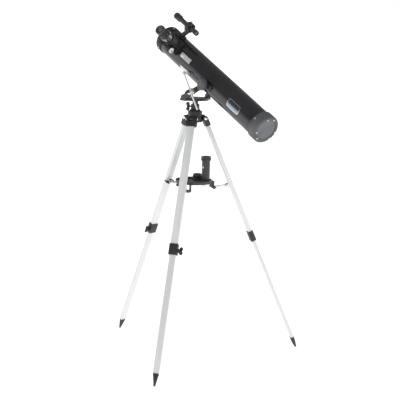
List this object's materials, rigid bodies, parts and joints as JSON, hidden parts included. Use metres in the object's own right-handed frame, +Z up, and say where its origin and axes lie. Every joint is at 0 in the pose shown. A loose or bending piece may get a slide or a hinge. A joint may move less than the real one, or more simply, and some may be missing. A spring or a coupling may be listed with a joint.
{
  "type": "telescope on tripod",
  "caption": "Open-front reflector telescope with finder and rack focuser on a sloping fork mount, with a folding tripod, telescoping legs and an accessory tray.",
  "frame": {"origin": "on the floor under the middle of the object's box", "axes": "+X is the direction that the tube points in plan, +Y is its left side, where the focuser is, and +Z is up"},
  "size_m": [0.7996, 0.6964, 1.2125],
  "materials": {
    "black_plastic": "satin moulded black plastic",
    "leg_aluminium": "satin anodised extruded aluminium",
    "chrome": "bright plated steel",
    "tray_plastic": "fine textured black plastic",
    "accessory_plastic": "semi-gloss black plastic and anodised barrel",
    "fork_metal": "black powder coat on cast metal",
    "knob_plastic": "dark grey ribbed plastic",
    "tube_lacquer": "gloss black lacquer on rolled steel",
    "mirror_glass": "polished aluminised glass",
    "lens_glass": "coated clear glass",
    "badge_metal": "blank printed plate with a bright border",
    "foil": "blank silver foil label"
  },
  "bodies": {
    "tripod": {"hub": "black_plastic", "leg_bolts": "chrome"},
    "leg_a": {"leg_cap_a": "black_plastic", "leg_upper_a": "leg_aluminium", "collar_a": "black_plastic", "bracket_a": "chrome"},
    "lower_a": {"leg_lower_a": "leg_aluminium", "foot_a": "black_plastic"},
    "leg_screw_a": {"leg_screw_a": "black_plastic"},
    "brace_a": {"brace_a": "chrome"},
    "leg_b": {"leg_cap_b": "black_plastic", "leg_upper_b": "leg_aluminium", "collar_b": "black_plastic", "bracket_b": "chrome"},
    "lower_b": {"leg_lower_b": "leg_aluminium", "foot_b": "black_plastic"},
    "leg_screw_b": {"leg_screw_b": "black_plastic"},
    "brace_b": {"brace_b": "chrome"},
    "leg_c": {"leg_cap_c": "black_plastic", "leg_upper_c": "leg_aluminium", "collar_c": "black_plastic", "bracket_c": "chrome"},
    "lower_c": {"leg_lower_c": "leg_aluminium", "foot_c": "black_plastic"},
    "leg_screw_c": {"leg_screw_c": "black_plastic"},
    "brace_c": {"brace_c": "chrome"},
    "tray": {"tray": "tray_plastic"},
    "barlow": {"barlow": "accessory_plastic"},
    "eyepiece_long": {"eyepiece_long": "accessory_plastic"},
    "eyepiece_short": {"eyepiece_short": "accessory_plastic"},
    "yoke": {"yoke": "fork_metal", "swivel_shaft": "chrome"},
    "swivel_lock": {"swivel_lock": "black_plastic"},
    "tube": {"tube": "tube_lacquer", "front_ring": "black_plastic", "rear_cap": "black_plastic", "cap_screws": "chrome", "main_mirror": "mirror_glass", "mirror_cell": "black_plastic", "collimation_screws": "chrome", "spider": "fork_metal", "secondary": "mirror_glass", "focuser": "fork_metal", "rod_bracket": "chrome", "pivot_bosses": "fork_metal", "finder_bracket": "black_plastic", "finder": "black_plastic", "finder_lenses": "lens_glass", "finder_screws": "chrome", "badge": "badge_metal", "foil_label": "foil"},
    "rod": {"rod": "chrome"},
    "clamp": {"rod_clamp": "chrome"},
    "clamp_screw": {"clamp_screw": "black_plastic"},
    "knob_left": {"knob_left": "knob_plastic"},
    "knob_right": {"knob_right": "knob_plastic"},
    "drawtube": {"drawtube": "chrome"},
    "pinion": {"pinion": "chrome", "focus_knobs": "black_plastic"},
    "eyepiece": {"eyepiece": "accessory_plastic"}
  },
  "joints": [
    {"name": "leg_a_fold", "type": "hinge", "parent": "tripod", "child": "leg_a", "pos_m": [0.03207, 0.02036, 0.85], "axis": [-0.0872, 0.9962, 0], "range_deg": [0, 8]},
    {"name": "leg_a_slide", "type": "slide", "parent": "leg_a", "child": "lower_a", "axis": [0.394, 0.0345, -0.9184], "range_m": [-0.3, 0.05]},
    {"name": "leg_a_lock", "type": "hinge", "parent": "leg_a", "child": "leg_screw_a", "pos_m": [0.21434, 0.05639, 0.42109], "axis": [-0.0872, 0.9962, 0], "range_deg": [0, 180]},
    {"name": "brace_a_swing", "type": "hinge", "parent": "leg_a", "child": "brace_a", "pos_m": [0.11791, 0.02787, 0.60947], "axis": [-0.0872, 0.9962, 0], "range_deg": [-76.18, 0.5]},
    {"name": "leg_b_fold", "type": "hinge", "parent": "tripod", "child": "leg_b", "pos_m": [-0.0213, 0.04525, 0.85], "axis": [-0.8192, -0.5736, 0], "range_deg": [0, 8]},
    {"name": "leg_b_slide", "type": "slide", "parent": "leg_b", "child": "lower_b", "axis": [-0.2269, 0.324, -0.9184], "range_m": [-0.3, 0.05]},
    {"name": "leg_b_lock", "type": "hinge", "parent": "leg_b", "child": "leg_screw_b", "pos_m": [-0.14364, 0.18509, 0.42109], "axis": [-0.8192, -0.5736, 0], "range_deg": [0, 180]},
    {"name": "brace_b_swing", "type": "hinge", "parent": "leg_b", "child": "brace_b", "pos_m": [-0.07073, 0.11584, 0.60947], "axis": [-0.8192, -0.5736, 0], "range_deg": [-76.18, 0.5]},
    {"name": "leg_c_fold", "type": "hinge", "parent": "tripod", "child": "leg_c", "pos_m": [-0.01617, -0.01341, 0.85], "axis": [0.9063, -0.4226, 0], "range_deg": [0, 8]},
    {"name": "leg_c_slide", "type": "slide", "parent": "leg_c", "child": "lower_c", "axis": [-0.1672, -0.3585, -0.9184], "range_m": [-0.3, 0.05]},
    {"name": "leg_c_lock", "type": "hinge", "parent": "leg_c", "child": "leg_screw_c", "pos_m": [-0.07611, -0.18928, 0.42109], "axis": [0.9063, -0.4226, 0], "range_deg": [0, 180]},
    {"name": "brace_c_swing", "type": "hinge", "parent": "leg_c", "child": "brace_c", "pos_m": [-0.05259, -0.09151, 0.60947], "axis": [0.9063, -0.4226, 0], "range_deg": [-76.18, 0.5]},
    {"name": "tray_drop", "type": "slide", "parent": "tripod", "child": "tray", "axis": [0, 0, 1], "range_m": [-0.0509, 0.001]},
    {"name": "barlow_lift", "type": "slide", "parent": "tray", "child": "barlow", "axis": [0, 0, 1], "range_m": [0, 0.05]},
    {"name": "eyepiece_long_lift", "type": "slide", "parent": "tray", "child": "eyepiece_long", "axis": [0, 0, 1], "range_m": [0, 0.05]},
    {"name": "eyepiece_short_lift", "type": "slide", "parent": "tray", "child": "eyepiece_short", "axis": [0, 0, 1], "range_m": [0, 0.05]},
    {"name": "azimuth", "type": "hinge", "parent": "tripod", "child": "yoke", "pos_m": [-0.0018, 0.0174, 0.899], "axis": [0, 0, 1], "continuous": true},
    {"name": "azimuth_lock", "type": "hinge", "parent": "tripod", "child": "swivel_lock", "pos_m": [0.01051, 0.03316, 0.891], "axis": [0.6157, 0.788, 0], "range_deg": [0, 180]},
    {"name": "altitude", "type": "hinge", "parent": "yoke", "child": "tube", "pos_m": [-0.1158, 0.0174, 0.9775], "axis": [0, -1, 0], "range_deg": [-14, 30]},
    {"name": "rod_hinge", "type": "hinge", "parent": "tube", "child": "rod", "pos_m": [-0.01559, 0.0814, 1.00959], "axis": [0, -1, 0], "range_deg": [-0.2, 0.36]},
    {"name": "clamp_swivel", "type": "hinge", "parent": "yoke", "child": "clamp", "pos_m": [-0.05605, 0.0814, 0.94946], "axis": [0, -1, 0], "range_deg": [-14.64, 30.8]},
    {"name": "rod_lock", "type": "hinge", "parent": "clamp", "child": "clamp_screw", "pos_m": [-0.05605, 0.0814, 0.94946], "axis": [0, 1, 0], "range_deg": [0, 180]},
    {"name": "knob_left_turn", "type": "hinge", "parent": "tube", "child": "knob_left", "pos_m": [-0.1158, 0.0174, 0.9775], "axis": [0, 1, 0], "range_deg": [0, 180]},
    {"name": "knob_right_turn", "type": "hinge", "parent": "tube", "child": "knob_right", "pos_m": [-0.1158, 0.0174, 0.9775], "axis": [0, -1, 0], "range_deg": [0, 180]},
    {"name": "focus_slide", "type": "slide", "parent": "tube", "child": "drawtube", "axis": [-0.2559, 0.8192, 0.5133], "range_m": [-0.015, 0.026]},
    {"name": "focus_turn", "type": "hinge", "parent": "tube", "child": "pinion", "pos_m": [0.07412, 0.09015, 1.09637], "axis": [0.8949, 0, 0.4462], "range_deg": [-313, 182]},
    {"name": "eyepiece_pull", "type": "slide", "parent": "drawtube", "child": "eyepiece", "axis": [-0.2559, 0.8192, 0.5133], "range_m": [0, 0.03]}
  ],
  "couplings": [
    {"joint": "brace_a_swing", "follows": "leg_a_fold", "ratio": -9.4602},
    {"joint": "leg_b_fold", "follows": "leg_a_fold", "ratio": 1},
    {"joint": "brace_b_swing", "follows": "leg_a_fold", "ratio": -9.4602},
    {"joint": "leg_c_fold", "follows": "leg_a_fold", "ratio": 1},
    {"joint": "brace_c_swing", "follows": "leg_a_fold", "ratio": -9.4602},
    {"joint": "tray_drop", "follows": "leg_a_fold", "m_per_rad": -0.35735},
    {"joint": "rod_hinge", "follows": "altitude", "ratio": 0.01},
    {"joint": "clamp_swivel", "follows": "altitude", "ratio": 1.01},
    {"joint": "focus_turn", "follows": "focus_slide", "rad_per_m": -208.33}
  ]
}
